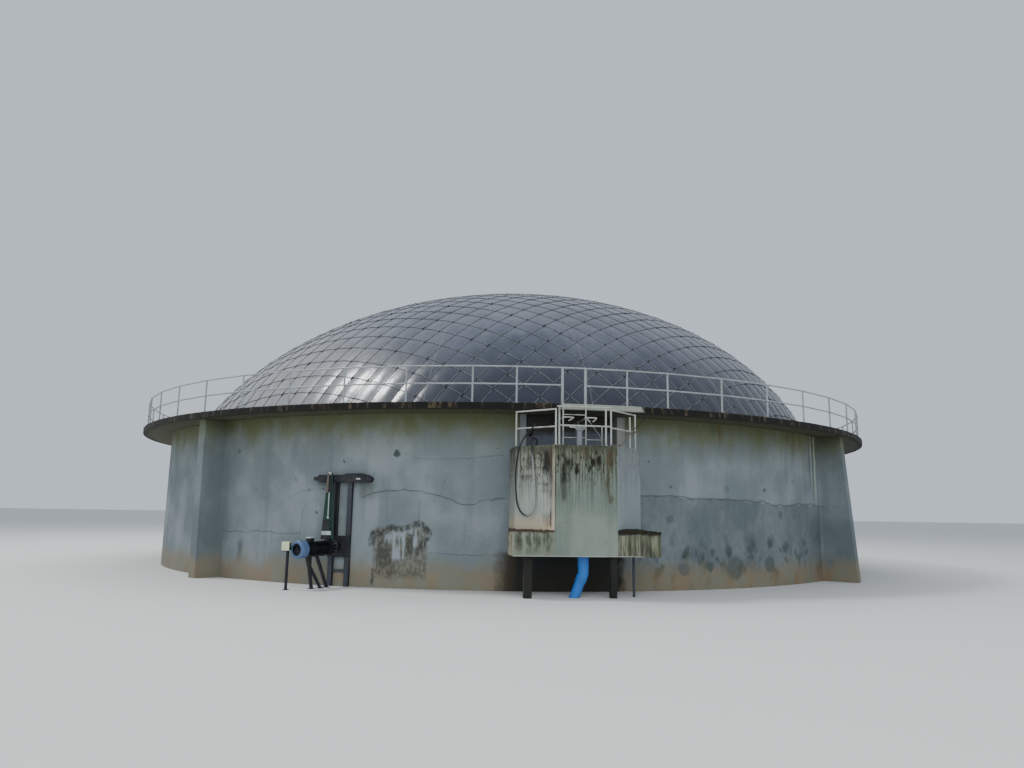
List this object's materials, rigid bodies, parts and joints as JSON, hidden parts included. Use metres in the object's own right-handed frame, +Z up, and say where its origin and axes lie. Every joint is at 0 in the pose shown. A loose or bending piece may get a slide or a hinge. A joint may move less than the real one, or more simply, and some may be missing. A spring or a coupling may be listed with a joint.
{
  "type": "biogas digester",
  "caption": "Round concrete digester tank with a walkway, an inflated gas dome under a rope net, an outlet chamber with ladder, and a side-entry mixer.",
  "frame": {"origin": "on the tank's axis at ground level, under the tank floor", "axes": "+Z up, -Y out of the tank towards the outlet chamber, +X to the right seen from the chamber"},
  "size_m": [25.4594, 26.1297, 9.8358],
  "materials": {
    "concrete": "weathered cast concrete, bluish grey with dirt and cracks",
    "mossy_concrete": "concrete edge with black moss",
    "streaked_concrete": "limewashed concrete with dark vertical streaks",
    "membrane": "smooth dark geomembrane",
    "rope": "weathered synthetic rope",
    "galvanised": "dull galvanised steel tube",
    "dark_steel": "dark weathered paint on steel",
    "motor_blue": "blue paint",
    "motor_black": "black paint",
    "cream_plastic": "cream enclosure",
    "blue_plastic": "blue pipe",
    "white_plastic": "whitish pipe",
    "rubber": "black hose"
  },
  "bodies": {
    "root": {"tank_floor": "concrete", "wall_front_left": "concrete", "wall_front_middle": "concrete", "wall_front_right": "concrete", "wall_right_front": "concrete", "wall_right_back": "concrete", "wall_back_right": "concrete", "wall_back_left": "concrete", "wall_left_back": "concrete", "wall_left_front": "concrete", "buttress_front_right": "concrete", "buttress_back_right": "concrete", "buttress_back_left": "concrete", "buttress_front_left": "concrete", "walkway_front_left": "mossy_concrete", "walkway_front_right": "mossy_concrete", "walkway_back_right": "mossy_concrete", "walkway_back_left": "mossy_concrete", "guardrail_front": "galvanised", "guardrail_front_right": "galvanised", "guardrail_back_right": "galvanised", "guardrail_back": "galvanised", "guardrail_back_left": "galvanised", "guardrail_front_left": "galvanised", "dome_membrane": "membrane", "dome_clamp_ring": "dark_steel", "rope_net": "rope", "chamber_platform": "streaked_concrete", "chamber_front_wall": "streaked_concrete", "chamber_left_wall": "streaked_concrete", "chamber_right_wall": "streaked_concrete", "chamber_deck": "concrete", "opening_left_jamb": "streaked_concrete", "opening_right_jamb": "streaked_concrete", "opening_panel": "dark_steel", "chamber_guardrail_left": "galvanised", "chamber_guardrail_front": "galvanised", "chamber_guardrail_right": "galvanised", "chamber_ladder": "galvanised", "chamber_standpipe": "white_plastic", "chamber_outlet_pipe": "blue_plastic", "mixer_frame": "dark_steel", "mixer_gearbox": "motor_black", "mixer_motor": "motor_black", "mixer_fan_cowl": "motor_blue", "mixer_legs": "dark_steel", "mixer_stay": "dark_steel", "control_post": "dark_steel", "control_box": "cream_plastic", "chamber_hose": "rubber"}
  },
  "joints": []
}
